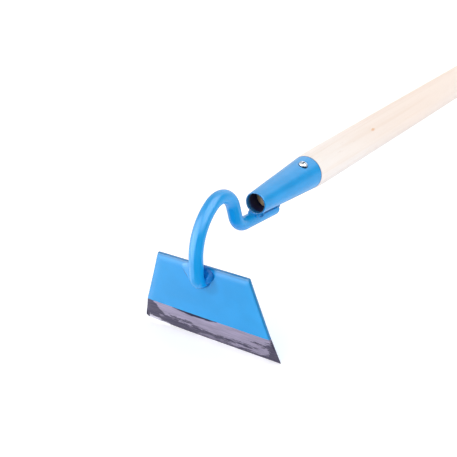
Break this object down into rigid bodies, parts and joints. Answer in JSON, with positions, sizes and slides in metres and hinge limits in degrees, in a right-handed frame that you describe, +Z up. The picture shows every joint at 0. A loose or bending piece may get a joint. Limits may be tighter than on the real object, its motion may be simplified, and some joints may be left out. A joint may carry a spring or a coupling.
{
  "type": "garden hoe",
  "caption": "Draw hoe with a trapezoid steel blade on a bent round neck welded under a conical socket, screwed to a long round wooden handle, for chopping weeds and drawing soil.",
  "frame": {"origin": "on the ground, under the middle of the hoe as it lies on its cutting edge and the butt of its handle", "axes": "X across the blade, +Y from the blade along the handle to its butt, +Z up"},
  "size_m": [0.139, 1.305, 0.1289],
  "materials": {
    "blade": "glossy sky-blue enamel over flat steel, with the cutting edge ground bare and left with fine grinding streaks",
    "enamelled_steel": "glossy sky-blue enamel, thick in the grooves and over the weld beads",
    "zinc": "bright zinc plating",
    "birch": "smooth sanded pale birch, unvarnished, with a faint straight grain"
  },
  "bodies": {
    "root": {"blade": "blade", "neck_rod": "enamelled_steel", "blade_weld": "enamelled_steel", "socket": "enamelled_steel", "socket_weld_front": "enamelled_steel", "socket_weld_rear": "enamelled_steel", "fixing_screw": "zinc", "handle": "birch"}
  },
  "joints": []
}
